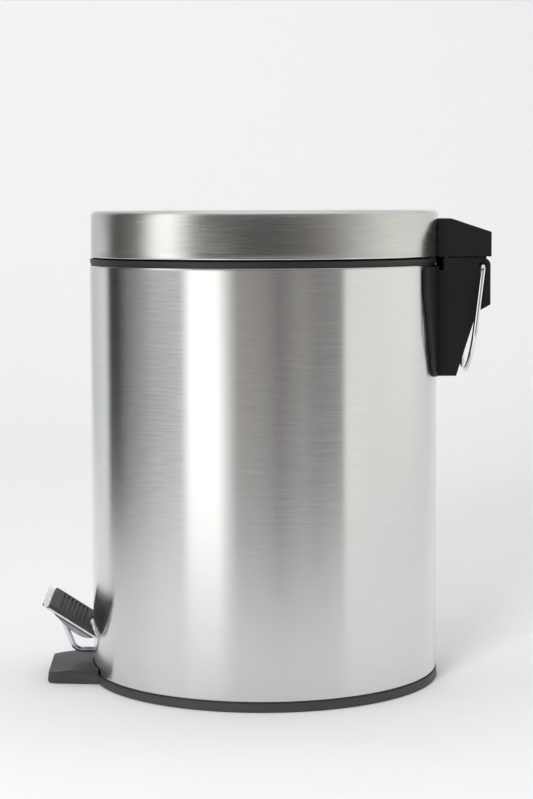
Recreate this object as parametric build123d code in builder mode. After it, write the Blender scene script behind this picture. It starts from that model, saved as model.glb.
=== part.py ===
from build123d import *
import math
import os

os.makedirs("parts", exist_ok=True)

# Pedal bin, about 5 litres. Millimetres, +Z up.
# Origin: on the floor, on the axis of the round body.
# -Y is the front (pedal), +Y is the rear (lid hinge and carry handle).

# ---------------------------------------------------------------- dimensions
SHELL_R = 102.5          # outside radius of the steel body
SHELL_T = 0.6            # sheet thickness
SHELL_Z0 = 6.1           # lower edge of the steel body
SHELL_Z1 = 245.2         # upper edge of the steel body

BASE_R = 103.2           # foot of the base moulding
BASE_TOP_R = 102.9       # same, at its visible upper edge
BASE_Z0 = 0.3            # underside of the rim, above the rubber pads
BASE_STEP_Z = 5.2        # visible height of the rim
BASE_WALL_R = 101.7      # upstand inside the steel body
BASE_WALL_T = 2.0
BASE_WALL_Z = 22.0
PAN_Z0 = 1.0             # floor of the base moulding
PAN_Z1 = 2.8

FOOT_Y = -128.6          # front end of the anti-tip foot
FOOT_HALF = 26.6         # half width at the front end
FOOT_HALF_IN = 30.2      # half width where it meets the body
FOOT_Z_OUT = 6.8         # height at the front end
FOOT_Z_IN = 9.8          # height at the body
FOOT_WALL = 2.2
SLOT_HALF = 3.6          # half width of the lever gap in the upstand

LID_Y = 0.8              # the lid sits slightly to the rear
LID_R = 102.5
LID_T = 0.6
LID_Z0 = 250.4           # hem
LID_Z1 = 277.0           # top of the lid
LID_EDGE_R = 3.2

HINGE_Y = 127.2          # lid hinge axis, along X
HINGE_Z = 244.4
BRACKET_HALF = 24.0      # half width of hinge bracket and hinge cover
WALL = 2.2
CORNER_R = 4.6           # bracket corner, concentric with the hinge axis
FLANGE_R0 = 102.7        # curved flange of the bracket, on the steel body
FLANGE_R1 = 104.2
COVER_Z0 = 249.6

PIN_R = 1.6              # hinge pin
PIN_BORE_R = 1.65
HANDLE_R = 1.55          # carry handle wire
HANDLE_X = 26.1          # centre line of the handle legs
HANDLE_TILT = 6.8        # degrees the loop hangs towards the body

WIRE_R = 1.6             # pedal lever and lift rod wire
LEVER_Z = 14.6           # straight run of the lever
PIVOT_Y = -80.0          # lever pivot, just behind the front wall
AXLE_R = 2.0
AXLE_BORE_R = 2.06
ROD_Y = 96.0             # lift rod, inside the body
ROD_TOP_Y = 113.9        # lift rod, inside the bracket
ROD_TOP_Z = 243.9
EYE_R = 4.3              # centre line radius of the eye

TREAD_ANGLE = 33.0       # slope of the tread, outer edge high
TREAD_Y = -98.7          # inner top edge of the pad
TREAD_Z = 29.7
PAD_T = 1.8
PLATE_T = 1.2

BUCKET_Z0 = 38.0
BUCKET_RIM_Z = 235.6
BUCKET_R0 = 84.0
BUCKET_R1 = 92.2
BUCKET_T = 1.6
BAIL_R = 1.25
BAIL_Z = 238.6
BAIL_X = 95.0

ca = math.cos(math.radians(TREAD_ANGLE))
sa = math.sin(math.radians(TREAD_ANGLE))
parts = []


def done(builder, label):
    builder.part.label = label
    parts.append(label)
    export_step(builder.part, "parts/" + label + ".step")


# ---------------------------------------------------------------- outer shell
# Rolled stainless tube with the lever slot at the front, the lift rod slot and
# four screw holes at the rear.
SCREWS = [(-14.0, 226.0), (14.0, 226.0), (-13.0, 196.0), (13.0, 196.0)]
with BuildPart() as outer_shell:
    with BuildSketch(Plane.XY.offset(SHELL_Z0)):
        Circle(SHELL_R)
        Circle(SHELL_R - SHELL_T, mode=Mode.SUBTRACT)
    extrude(amount=SHELL_Z1 - SHELL_Z0)
    with BuildSketch(Plane.XZ.offset(90)):
        with Locations((0, 12.0)):
            RectangleRounded(2 * SLOT_HALF + 1.6, 17.0, 3.5)
    extrude(amount=20, mode=Mode.SUBTRACT)
    with BuildSketch(Plane.XZ.offset(-90)):
        with Locations((0, 212.5)):
            SlotOverall(36, 5.4, rotation=90)
    extrude(amount=-20, mode=Mode.SUBTRACT)
    with BuildSketch(Plane.XZ.offset(-90)):
        with Locations(*SCREWS):
            Circle(1.8)
    extrude(amount=-20, mode=Mode.SUBTRACT)
done(outer_shell, "outer_shell")

# ---------------------------------------------------------------- base moulding
# Rim, upstand and floor in one moulding with a hollow anti-tip foot.
with BuildPart() as foot_block:
    with BuildSketch(Plane.YZ):
        with BuildLine():
            Polyline(
                (-98.0, BASE_Z0),
                (FOOT_Y + 0.9, BASE_Z0),
                (FOOT_Y, 1.4),
                (FOOT_Y + 0.5, FOOT_Z_OUT),
                (-98.0, FOOT_Z_IN + 0.1),
                close=True,
            )
        make_face()
    extrude(amount=32, both=True)
    with BuildSketch(Plane.XY.offset(-1)):
        with BuildLine():
            Polyline(
                (-FOOT_HALF_IN, -98.0),
                (FOOT_HALF_IN, -98.0),
                (FOOT_HALF, -124.6),
                (FOOT_HALF - 2.6, FOOT_Y - 0.2),
                (-FOOT_HALF + 2.6, FOOT_Y - 0.2),
                (-FOOT_HALF, -124.6),
                close=True,
            )
        make_face()
    extrude(amount=20, mode=Mode.INTERSECT)
    # the steel body stands clear above the rim
    with BuildSketch(Plane.XY.offset(BASE_STEP_Z)):
        Circle(BASE_R - 0.1)
    extrude(amount=10, mode=Mode.SUBTRACT)
    with BuildSketch(Plane.XY.offset(-1)):
        Circle(100.4)
    extrude(amount=20, mode=Mode.SUBTRACT)

with BuildPart() as foot_void:
    with BuildSketch(Plane.YZ):
        with BuildLine():
            Polyline(
                (-105.4, -1.0),
                (FOOT_Y + 3.0, -1.0),
                (FOOT_Y + 3.0, FOOT_Z_OUT - FOOT_WALL + 0.2),
                (-105.4, FOOT_Z_IN - FOOT_WALL - 0.7),
                close=True,
            )
        make_face()
    extrude(amount=FOOT_HALF - 2.4, both=True)

with BuildPart() as base_moulding:
    with BuildSketch(Plane.XZ):
        with BuildLine():
            Polyline(
                (0, PAN_Z0),
                (99.2, PAN_Z0),
                (99.2, BASE_Z0),
                (BASE_R - 0.5, BASE_Z0),
                (BASE_R, BASE_Z0 + 0.5),
                (BASE_TOP_R, BASE_STEP_Z - 0.4),
                (BASE_TOP_R - 0.4, BASE_STEP_Z),
                (BASE_WALL_R, BASE_STEP_Z),
                (BASE_WALL_R, BASE_WALL_Z),
                (BASE_WALL_R - BASE_WALL_T, BASE_WALL_Z),
                (BASE_WALL_R - BASE_WALL_T, PAN_Z1),
                (0, PAN_Z1),
                close=True,
            )
        make_face()
    revolve(axis=Axis.Z)
    add(foot_block.part)
    add(foot_void.part, mode=Mode.SUBTRACT)
    # gap for the lever through the upstand
    with BuildSketch(Plane.XY.offset(8.4)):
        with BuildLine():
            Polyline(
                (-SLOT_HALF, -96.0),
                (SLOT_HALF, -96.0),
                (SLOT_HALF, -102.4),
                (-SLOT_HALF, -102.4),
                close=True,
            )
        make_face()
    extrude(amount=30, mode=Mode.SUBTRACT)
    # pockets for the rubber pads, and pilot holes for the pivot screws
    with BuildSketch(Plane.XY.offset(PAN_Z0)):
        with PolarLocations(88.0, 4, start_angle=45):
            Circle(7.0)
    extrude(amount=0.7, mode=Mode.SUBTRACT)
    with BuildSketch(Plane.XY.offset(1.5)):
        with Locations(
            (15, PIVOT_Y - 10.5), (15, PIVOT_Y + 10.5),
            (-15, PIVOT_Y - 10.5), (-15, PIVOT_Y + 10.5),
        ):
            Circle(1.45)
    extrude(amount=3, mode=Mode.SUBTRACT)
    # ribs under the bin floor that stiffen the base
    with BuildSketch(Plane.XY.offset(PAN_Z1)):
        with PolarLocations(66.0, 6, start_angle=0):
            Rectangle(32, 1.6)
    extrude(amount=5.0)
    with BuildSketch(Plane.XY.offset(PAN_Z1)):
        Circle(42.8)
        Circle(41.2, mode=Mode.SUBTRACT)
        Rectangle(12, 100, mode=Mode.SUBTRACT)
    extrude(amount=5.0)
done(base_moulding, "base_moulding")

# ---------------------------------------------------------------- floor pads
with BuildPart() as floor_pads:
    with BuildSketch(Plane.XY):
        with PolarLocations(88.0, 4, start_angle=45):
            Circle(6.7)
    extrude(amount=1.7)
    chamfer(floor_pads.edges().group_by(Axis.Z)[0], length=0.4)
done(floor_pads, "floor_pads")

# ---------------------------------------------------------------- top ring
# Black ring that closes the edge of the body and carries the bucket.
with BuildPart() as top_ring:
    with BuildSketch(Plane.XZ):
        with BuildLine():
            Polyline(
                (101.7, 231.0),
                (101.7, 245.5),
                (102.2, 245.5),
                (102.2, 248.5),
                (101.7, 249.0),
                (99.9, 249.0),
                (99.4, 248.5),
                (99.4, 234.6),
                (95.2, 234.6),
                (94.8, 234.2),
                (94.8, 232.8),
                (99.4, 232.8),
                (99.4, 231.0),
                close=True,
            )
        make_face()
    revolve(axis=Axis.Z)
done(top_ring, "top_ring")

# ---------------------------------------------------------------- hinge bracket
# Moulded housing at the rear: curved flange on the body, two side walls, rear
# and sloping lower wall, bosses for the hinge pin and the fixing screws.
with BuildPart() as bracket_flange:
    with BuildSketch(Plane.XY.offset(175)):
        Circle(FLANGE_R1)
        Circle(FLANGE_R0, mode=Mode.SUBTRACT)
    extrude(amount=75)
    with BuildSketch(Plane.XZ.offset(-60)) as flange_outline:
        with BuildLine():
            Polyline(
                (-50.6, 244.0),
                (-50.2, 230.0),
                (-37.0, 180.0),
                (37.0, 180.0),
                (50.2, 230.0),
                (50.6, 244.0),
                close=True,
            )
        make_face()
        fillet(flange_outline.vertices().group_by(Axis.Y)[0], radius=10)
        fillet(flange_outline.vertices().group_by(Axis.Y)[-1], radius=2)
    extrude(amount=-60, mode=Mode.INTERSECT)
    with BuildSketch(Plane.XZ.offset(-60)):
        with Locations((0, 215.0)):
            Rectangle(36, 61)
    extrude(amount=-60, mode=Mode.SUBTRACT)

with BuildPart() as bracket_void:
    with BuildSketch(Plane.YZ):
        with BuildLine():
            Polyline(
                (96.0, 182.4),
                (110.3, 182.4),
                (121.9, 218.7),
                (129.6, 222.9),
                (129.6, 260.0),
                (96.0, 260.0),
                close=True,
            )
        make_face()
    extrude(amount=BRACKET_HALF - WALL, both=True)

with BuildPart() as hinge_bracket:
    with BuildSketch(Plane.YZ) as bracket_side:
        with BuildLine():
            Polyline(
                (96.0, 180.0),
                (111.9, 180.0),
                (123.8, 217.2),
                (HINGE_Y + CORNER_R, 221.6),
                (HINGE_Y + CORNER_R, HINGE_Z + CORNER_R),
                (104.4, HINGE_Z + CORNER_R),
                (104.4, 241.8),
                (96.0, 241.8),
                close=True,
            )
        make_face()
        # sketch vertices are local: X runs along world Y, Y along world Z
        fillet(
            bracket_side.vertices().group_by(Axis.X)[-1].sort_by(Axis.Y)[-1],
            radius=CORNER_R - 0.01,
        )
    extrude(amount=BRACKET_HALF, both=True)
    add(bracket_void.part, mode=Mode.SUBTRACT)
    # the rear is open above this height, where the lid's knuckles swing
    with BuildSketch(Plane.XZ.offset(-120)):
        with Locations((0, 246.5)):
            Rectangle(2 * (BRACKET_HALF - WALL), 16)
    extrude(amount=-20, mode=Mode.SUBTRACT)
    # pin bosses on the side walls
    for x0 in (-BRACKET_HALF + 0.5, 16.5):
        with BuildSketch(Plane.YZ.offset(x0)):
            with Locations((HINGE_Y, HINGE_Z)):
                Circle(4.2)
        extrude(amount=BRACKET_HALF - 17.0)
    # screw bosses, along Y
    with BuildSketch(Plane.XZ.offset(-100)):
        with Locations((-14.0, 226.0), (14.0, 226.0)):
            Circle(3.6)
    extrude(amount=-30.5)
    with BuildSketch(Plane.XZ.offset(-100)):
        with Locations((-13.0, 196.0), (13.0, 196.0)):
            Circle(3.6)
    extrude(amount=-14.6)
    with BuildSketch(Plane.XY.offset(170)):
        Circle(FLANGE_R0)
    extrude(amount=90, mode=Mode.SUBTRACT)
    add(bracket_flange.part)
    # bores
    with BuildSketch(Plane.YZ.offset(-30)):
        with Locations((HINGE_Y, HINGE_Z)):
            Circle(PIN_BORE_R)
    extrude(amount=60, mode=Mode.SUBTRACT)
    for x0 in (-BRACKET_HALF - 1, BRACKET_HALF - 1.6):
        with BuildSketch(Plane.YZ.offset(x0)):
            with Locations((HINGE_Y, HINGE_Z)):
                Circle(2.3)
        extrude(amount=2.6, mode=Mode.SUBTRACT)
    with BuildSketch(Plane.XZ.offset(-98)):
        with Locations(*SCREWS):
            Circle(1.55)
    extrude(amount=-15, mode=Mode.SUBTRACT)
done(hinge_bracket, "hinge_bracket")

# ---------------------------------------------------------------- backing plate
# Curved plate inside the body; the four screws clamp the bracket to it.
with BuildPart() as backing_plate:
    with BuildSketch(Plane.XY.offset(188)):
        Circle(101.7)
        Circle(100.1, mode=Mode.SUBTRACT)
    extrude(amount=42)
    with BuildSketch(Plane.XZ.offset(-60)):
        with Locations((0, 209.0)):
            RectangleRounded(44, 41.8, 4)
    extrude(amount=-60, mode=Mode.INTERSECT)
    with BuildSketch(Plane.XZ.offset(-60)):
        with Locations((0, 212.0)):
            Rectangle(6.4, 37)
        with Locations(*SCREWS):
            Circle(1.8)
    extrude(amount=-60, mode=Mode.SUBTRACT)
done(backing_plate, "backing_plate")

# ---------------------------------------------------------------- bracket screws
with BuildPart() as bracket_screws:
    with BuildSketch(Plane.XZ.offset(-96.6)):
        with Locations(*SCREWS):
            Circle(3.0)
    extrude(amount=-1.9)
    with BuildSketch(Plane.XZ.offset(-98.0)):
        with Locations(*SCREWS):
            Circle(1.5)
    extrude(amount=-14.6)
    with BuildSketch(Plane.XZ.offset(-96.4)):
        with Locations(*SCREWS):
            Rectangle(3.6, 0.8)
            Rectangle(0.8, 3.6)
    extrude(amount=-1.2, mode=Mode.SUBTRACT)
done(bracket_screws, "bracket_screws")

# ---------------------------------------------------------------- hinge pin
with BuildPart() as hinge_pin:
    with BuildSketch(Plane.YZ.offset(-19.4)):
        with Locations((HINGE_Y, HINGE_Z)):
            Circle(PIN_R)
    extrude(amount=38.8)
    chamfer(hinge_pin.edges().group_by(Axis.X)[0], length=0.4)
    chamfer(hinge_pin.edges().group_by(Axis.X)[-1], length=0.4)
done(hinge_pin, "hinge_pin")

# ---------------------------------------------------------------- rod guide
# Small guide inside the body that keeps the lift rod upright.
with BuildPart() as rod_guide:
    with BuildSketch(Plane.XY.offset(102)):
        with BuildLine():
            Polyline(
                (-5.0, 93.0),
                (5.0, 93.0),
                (7.0, 95.0),
                (13.0, 100.7),
                (-13.0, 100.7),
                (-7.0, 95.0),
                close=True,
            )
        make_face()
        with Locations((0, ROD_Y)):
            Circle(1.68, mode=Mode.SUBTRACT)
    extrude(amount=10)
done(rod_guide, "rod_guide")

# ---------------------------------------------------------------- lever pivot
with BuildPart() as pivot_blocks:
    for x0 in (-18.0, 12.0):
        with BuildSketch(Plane.YZ.offset(x0)):
            with BuildLine():
                Polyline(
                    (PIVOT_Y - 14.0, PAN_Z1),
                    (PIVOT_Y + 14.0, PAN_Z1),
                    (PIVOT_Y + 14.0, PAN_Z1 + 3.0),
                    (PIVOT_Y + 6.0, PAN_Z1 + 3.0),
                    (PIVOT_Y + 5.2, LEVER_Z),
                    (PIVOT_Y + 3.4, LEVER_Z + 4.2),
                    (PIVOT_Y - 3.4, LEVER_Z + 4.2),
                    (PIVOT_Y - 5.2, LEVER_Z),
                    (PIVOT_Y - 6.0, PAN_Z1 + 3.0),
                    (PIVOT_Y - 14.0, PAN_Z1 + 3.0),
                    close=True,
                )
            make_face()
            with Locations((PIVOT_Y, LEVER_Z)):
                Circle(AXLE_BORE_R, mode=Mode.SUBTRACT)
        extrude(amount=6.0)
    with BuildSketch(Plane.XY.offset(0)):
        with Locations(
            (15, PIVOT_Y - 10.5), (15, PIVOT_Y + 10.5),
            (-15, PIVOT_Y - 10.5), (-15, PIVOT_Y + 10.5),
        ):
            Circle(1.6)
    extrude(amount=10, mode=Mode.SUBTRACT)
done(pivot_blocks, "pivot_blocks")

with BuildPart() as pivot_screws:
    with BuildSketch(Plane.XY.offset(1.6)):
        with Locations(
            (15, PIVOT_Y - 10.5), (15, PIVOT_Y + 10.5),
            (-15, PIVOT_Y - 10.5), (-15, PIVOT_Y + 10.5),
        ):
            Circle(1.4)
    extrude(amount=4.8)
    with BuildSketch(Plane.XY.offset(PAN_Z1 + 3.0)):
        with Locations(
            (15, PIVOT_Y - 10.5), (15, PIVOT_Y + 10.5),
            (-15, PIVOT_Y - 10.5), (-15, PIVOT_Y + 10.5),
        ):
            Circle(2.8)
    extrude(amount=1.8)
done(pivot_screws, "pivot_screws")

# ---------------------------------------------------------------- lid skin
with BuildPart() as lid_skin:
    with BuildSketch(Plane.XZ.offset(-LID_Y)) as skin_profile:
        with BuildLine():
            Polyline(
                (0, LID_Z1),
                (LID_R, LID_Z1),
                (LID_R, LID_Z0),
                (LID_R - LID_T, LID_Z0),
                (LID_R - LID_T, LID_Z1 - LID_T),
                (0, LID_Z1 - LID_T),
                close=True,
            )
        make_face()
        corners = [
            v for v in skin_profile.vertices()
            if v.X > 90 and v.Y > LID_Z1 - 2
        ]
        fillet(max(corners, key=lambda v: v.X), radius=LID_EDGE_R)
        corners = [
            v for v in skin_profile.vertices()
            if abs(v.X - (LID_R - LID_T)) < 0.01 and v.Y > LID_Z1 - 2
        ]
        fillet(corners, radius=LID_EDGE_R - LID_T)
        with Locations((LID_R - 0.5, LID_Z0 + 0.1)):
            Circle(0.7)
    revolve(axis=Axis((0, LID_Y, 0), (0, 0, 1)))
    with BuildSketch(Plane.XZ.offset(-90)):
        with Locations((-14, 258), (14, 258)):
            Circle(1.8)
    extrude(amount=-20, mode=Mode.SUBTRACT)
done(lid_skin, "lid_skin")

# ---------------------------------------------------------------- lid liner
with BuildPart() as lid_liner:
    with BuildSketch(Plane.XZ.offset(-LID_Y)):
        with BuildLine():
            Polyline(
                (0, 264.0),
                (93.0, 264.0),
                (95.5, 261.5),
                (95.5, 251.4),
                (101.5, 251.4),
                (101.5, 254.0),
                (97.3, 254.0),
                (97.3, 262.4),
                (93.8, 265.8),
                (0, 265.8),
                close=True,
            )
        make_face()
    revolve(axis=Axis((0, LID_Y, 0), (0, 0, 1)))
    with BuildSketch(Plane.XZ.offset(-80)):
        with Locations((-14, 258), (14, 258)):
            Circle(1.8)
    extrude(amount=-25, mode=Mode.SUBTRACT)
    # pockets for the buffers
    with BuildSketch(Plane.XY.offset(251.0)):
        with Locations((0, LID_Y)):
            with PolarLocations(98.8, 4, start_angle=45):
                Circle(2.1)
    extrude(amount=1.6, mode=Mode.SUBTRACT)
done(lid_liner, "lid_liner")

with BuildPart() as lid_buffers:
    with BuildSketch(Plane.XY.offset(249.4)):
        with Locations((0, LID_Y)):
            with PolarLocations(98.8, 4, start_angle=45):
                Circle(2.0)
    extrude(amount=3.1)
    chamfer(lid_buffers.edges().group_by(Axis.Z)[0], length=0.4)
done(lid_buffers, "lid_buffers")

# ---------------------------------------------------------------- hinge cover
with BuildPart() as cover_void:
    with BuildSketch(Plane.YZ):
        with BuildLine():
            Polyline(
                (99.0, 240.0),
                (99.0, 269.6),
                (108.3, 269.6),
                (130.1, 262.2),
                (130.1, 240.0),
                close=True,
            )
        make_face()
    extrude(amount=BRACKET_HALF - 2.0, both=True)
    with BuildSketch(Plane.XY.offset(235)):
        with Locations((0, LID_Y)):
            Circle(104.9)
    extrude(amount=40, mode=Mode.SUBTRACT)

with BuildPart() as hinge_cover:
    with BuildSketch(Plane.YZ):
        with BuildLine():
            Polyline(
                (98.0, COVER_Z0),
                (98.0, 271.8),
                (108.7, 271.8),
                (132.3, 263.9),
                (132.3, COVER_Z0),
                close=True,
            )
        make_face()
    extrude(amount=BRACKET_HALF, both=True)
    with BuildSketch(Plane.XY.offset(240)):
        with Locations((0, LID_Y)):
            Circle(LID_R + 0.25)
    extrude(amount=40, mode=Mode.SUBTRACT)
    chamfer(
        hinge_cover.edges().filter_by(Axis.Y).group_by(Axis.Z)[-1], length=0.5
    )
    add(cover_void.part, mode=Mode.SUBTRACT)
    # knuckles on the hinge pin, with arms up to the roof of the cover
    for x0 in (-15.0, 9.0):
        with BuildSketch(Plane.YZ.offset(x0)):
            with BuildLine():
                Polyline(
                    (HINGE_Y - 4.4, HINGE_Z),
                    (HINGE_Y - 4.4, 266.0),
                    (HINGE_Y + 3.4, 263.4),
                    (HINGE_Y + 3.4, HINGE_Z),
                    close=True,
                )
            make_face()
            with Locations((HINGE_Y, HINGE_Z)):
                Circle(4.8)
        extrude(amount=6.0)
    # lug that the lift rod pushes up, hung from a rib
    with BuildSketch(Plane.YZ.offset(-4.0)):
        with BuildLine():
            Polyline(
                (109.0, 245.4),
                (122.0, 245.4),
                (124.0, 250.0),
                (124.0, 266.6),
                (116.0, 268.6),
                (109.0, 252.0),
                close=True,
            )
        make_face()
    extrude(amount=8.0)
    # bosses for the cover screws
    with BuildSketch(Plane.XZ.offset(-104.0)):
        with Locations((-14, 258), (14, 258)):
            Circle(3.4)
    extrude(amount=-9.0)
    with BuildSketch(Plane.YZ.offset(-30)):
        with Locations((HINGE_Y, HINGE_Z)):
            Circle(PIN_BORE_R)
    extrude(amount=60, mode=Mode.SUBTRACT)
    with BuildSketch(Plane.XZ.offset(-98)):
        with Locations((-14, 258), (14, 258)):
            Circle(1.55)
    extrude(amount=-13, mode=Mode.SUBTRACT)
done(hinge_cover, "hinge_cover")

with BuildPart() as cover_screws:
    with BuildSketch(Plane.XZ.offset(-92.9)):
        with Locations((-14, 258), (14, 258)):
            Circle(3.0)
    extrude(amount=-1.8)
    with BuildSketch(Plane.XZ.offset(-94.0)):
        with Locations((-14, 258), (14, 258)):
            Circle(1.5)
    extrude(amount=-16.4)
    with BuildSketch(Plane.XZ.offset(-92.6)):
        with Locations((-14, 258), (14, 258)):
            Rectangle(3.4, 0.8)
            Rectangle(0.8, 3.4)
    extrude(amount=-1.2, mode=Mode.SUBTRACT)
done(cover_screws, "cover_screws")

# ---------------------------------------------------------------- pedal tread
tread = Plane(
    origin=(0, TREAD_Y, TREAD_Z), x_dir=(1, 0, 0), z_dir=(0, sa, ca)
)
with BuildPart() as pedal_plate:
    with BuildSketch(tread.offset(-PAD_T - PLATE_T)):
        with BuildLine():
            FilletPolyline(
                (-29.0, 9.0), (-29.0, -36.8), (29.0, -36.8), (29.0, 9.0),
                radius=4.0,
            )
            Line((29.0, 9.0), (-29.0, 9.0))
        make_face()
    extrude(amount=PLATE_T)
    # crescent side flanges
    for x0 in (-29.0, 28.2):
        with BuildSketch(
            Plane(origin=(x0, TREAD_Y, TREAD_Z), x_dir=(0, -ca, sa), z_dir=(1, 0, 0))
        ):
            with BuildLine():
                Line((0.6, 2.4), (31.0, 2.4))
                Spline(
                    (31.0, 2.4), (24.5, 4.3), (18.0, 5.8), (12.0, 6.5),
                    (6.5, 6.0), (2.8, 4.4), (0.6, 2.4),
                )
            make_face()
        extrude(amount=0.8)
    # the inner edge follows the round body
    with BuildSketch(Plane.XY):
        Circle(103.1)
    extrude(amount=60, mode=Mode.SUBTRACT)
done(pedal_plate, "pedal_plate")

with BuildPart() as pedal_pad:
    with BuildSketch(tread.offset(-PAD_T)):
        with BuildLine():
            FilletPolyline(
                (-27.8, 9.0), (-27.8, -33.0), (27.8, -33.0), (27.8, 9.0),
                radius=2.5,
            )
            Line((27.8, 9.0), (-27.8, 9.0))
        make_face()
    extrude(amount=PAD_T)
    with BuildSketch(Plane.XY):
        Circle(104.0)
    extrude(amount=60, mode=Mode.SUBTRACT)
done(pedal_pad, "pedal_pad")

# ---------------------------------------------------------------- pedal lever
# One bent wire: welded run under the tread, steep leg, straight run through
# the front slot, over the pivot and back to the lift rod's eye.


def tread_point(s, depth):
    return (TREAD_Y - ca * s - sa * depth, TREAD_Z + sa * s - ca * depth)


weld_a = tread_point(8.0, PAD_T + PLATE_T + WIRE_R)
weld_b = tread_point(26.6, PAD_T + PLATE_T + WIRE_R)
with BuildPart() as pedal_lever:
    with BuildLine(Plane.YZ) as lever_path:
        FilletPolyline(
            weld_a,
            weld_b,
            (-113.6, LEVER_Z),
            (98.6, LEVER_Z),
            radius=[3.2, 6.5],
        )
    with BuildSketch(Plane(origin=lever_path.line @ 0, z_dir=lever_path.line % 0)):
        Circle(WIRE_R)
    sweep(path=lever_path.line)
done(pedal_lever, "pedal_lever")

with BuildPart() as lever_saddle:
    saddle = Plane(
        origin=(0, tread_point(15, 0)[0], tread_point(15, 0)[1]),
        x_dir=(1, 0, 0), z_dir=(0, -ca, sa),
    )
    with BuildSketch(saddle.offset(-7)) as saddle_sketch:
        with BuildLine():
            Polyline(
                (-6.5, -(PAD_T + PLATE_T)),
                (-6.5, -(PAD_T + PLATE_T) - 0.8),
                (-2.5, -(PAD_T + PLATE_T) - 0.8),
                (-2.5, -(PAD_T + PLATE_T) - 4.1),
                (2.5, -(PAD_T + PLATE_T) - 4.1),
                (2.5, -(PAD_T + PLATE_T) - 0.8),
                (6.5, -(PAD_T + PLATE_T) - 0.8),
                (6.5, -(PAD_T + PLATE_T)),
                (1.7, -(PAD_T + PLATE_T)),
                (1.7, -(PAD_T + PLATE_T) - 3.3),
                (-1.7, -(PAD_T + PLATE_T) - 3.3),
                (-1.7, -(PAD_T + PLATE_T)),
                close=True,
            )
        make_face()
    extrude(amount=8.2)
done(lever_saddle, "lever_saddle")

with BuildPart() as lever_axle:
    with BuildSketch(Plane.YZ.offset(-21.0)):
        with Locations((PIVOT_Y, LEVER_Z)):
            Circle(AXLE_R)
    extrude(amount=42.0)
    chamfer(lever_axle.edges().group_by(Axis.X)[0], length=0.5)
    chamfer(lever_axle.edges().group_by(Axis.X)[-1], length=0.5)
done(lever_axle, "lever_axle")

with BuildPart() as axle_washers:
    for x0 in (-19.4, 18.4):
        with BuildSketch(Plane.YZ.offset(x0)):
            with Locations((PIVOT_Y, LEVER_Z)):
                Circle(4.2)
                Circle(AXLE_R + 0.02, mode=Mode.SUBTRACT)
        extrude(amount=1.0)
done(axle_washers, "axle_washers")

# ---------------------------------------------------------------- lift rod
with BuildPart() as lift_rod:
    with BuildLine(Plane.YZ) as rod_path:
        FilletPolyline(
            (ROD_Y, LEVER_Z + EYE_R),
            (ROD_Y, 197.0),
            (ROD_TOP_Y, 214.0),
            (ROD_TOP_Y, ROD_TOP_Z),
            radius=6.0,
        )
    with BuildSketch(Plane(origin=rod_path.line @ 0, z_dir=rod_path.line % 0)):
        Circle(WIRE_R)
    sweep(path=rod_path.line)
    # eye around the rear end of the lever
    with BuildSketch(Plane.XY.offset(LEVER_Z)):
        with Locations((EYE_R, ROD_Y)):
            Circle(WIRE_R)
    revolve(axis=Axis((0, ROD_Y, LEVER_Z), (0, 1, 0)))
    chamfer(lift_rod.edges().group_by(Axis.Z)[-1], length=0.5)
done(lift_rod, "lift_rod")

# ---------------------------------------------------------------- carry handle
tilt = math.radians(HANDLE_TILT)
loop = Plane(
    origin=(0, HINGE_Y, HINGE_Z),
    x_dir=(1, 0, 0),
    z_dir=(0, math.cos(tilt), -math.sin(tilt)),
)
LEG = 36.5
BEND = 3.0
k = BEND * (1 - math.sqrt(0.5))
with BuildPart() as carry_handle:
    with BuildLine(loop) as handle_path:
        Line((20.2, 0), (HANDLE_X - BEND, 0))
        ThreePointArc(
            (HANDLE_X - BEND, 0), (HANDLE_X - k, k), (HANDLE_X, BEND)
        )
        Line((HANDLE_X, BEND), (HANDLE_X, LEG))
        ThreePointArc(
            (HANDLE_X, LEG), (0, LEG + HANDLE_X), (-HANDLE_X, LEG)
        )
        Line((-HANDLE_X, LEG), (-HANDLE_X, BEND))
        ThreePointArc(
            (-HANDLE_X, BEND), (-HANDLE_X + k, k), (-HANDLE_X + BEND, 0)
        )
        Line((-HANDLE_X + BEND, 0), (-20.2, 0))
    with BuildSketch(
        Plane(origin=handle_path.line @ 0, z_dir=handle_path.line % 0)
    ):
        Circle(HANDLE_R)
    sweep(path=handle_path.line)
done(carry_handle, "carry_handle")

# ---------------------------------------------------------------- bucket
with BuildPart() as bucket:
    with BuildSketch(Plane.XZ) as bucket_profile:
        with BuildLine():
            Polyline(
                (0, BUCKET_Z0 + 1.6),
                (60.0, BUCKET_Z0 + 1.6),
                (62.0, BUCKET_Z0),
                (BUCKET_R0 - 4.0, BUCKET_Z0),
                (BUCKET_R0, BUCKET_Z0 + 4.0),
                (BUCKET_R1, BUCKET_RIM_Z - 0.6),
                (98.4, BUCKET_RIM_Z - 0.6),
                (98.4, BUCKET_RIM_Z + 1.0),
                (BUCKET_R1 - 1.6, BUCKET_RIM_Z + 1.0),
                (BUCKET_R0 - BUCKET_T, BUCKET_Z0 + 4.8),
                (BUCKET_R0 - BUCKET_T - 3.0, BUCKET_Z0 + 1.8),
                (62.6, BUCKET_Z0 + 1.8),
                (60.6, BUCKET_Z0 + 3.4),
                (0, BUCKET_Z0 + 3.4),
                close=True,
            )
        make_face()
    revolve(axis=Axis.Z)
    # ears for the bail
    for x0 in (-92.4, 90.7):
        with BuildSketch(Plane.YZ.offset(x0)):
            with BuildLine():
                Polyline(
                    (-6.0, BUCKET_RIM_Z + 0.2),
                    (6.0, BUCKET_RIM_Z + 0.2),
                    (3.0, BAIL_Z + 3.0),
                    (-3.0, BAIL_Z + 3.0),
                    close=True,
                )
            make_face()
            with Locations((0, BAIL_Z)):
                Circle(BAIL_R + 0.08, mode=Mode.SUBTRACT)
        extrude(amount=1.7)
done(bucket, "bucket")

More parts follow.
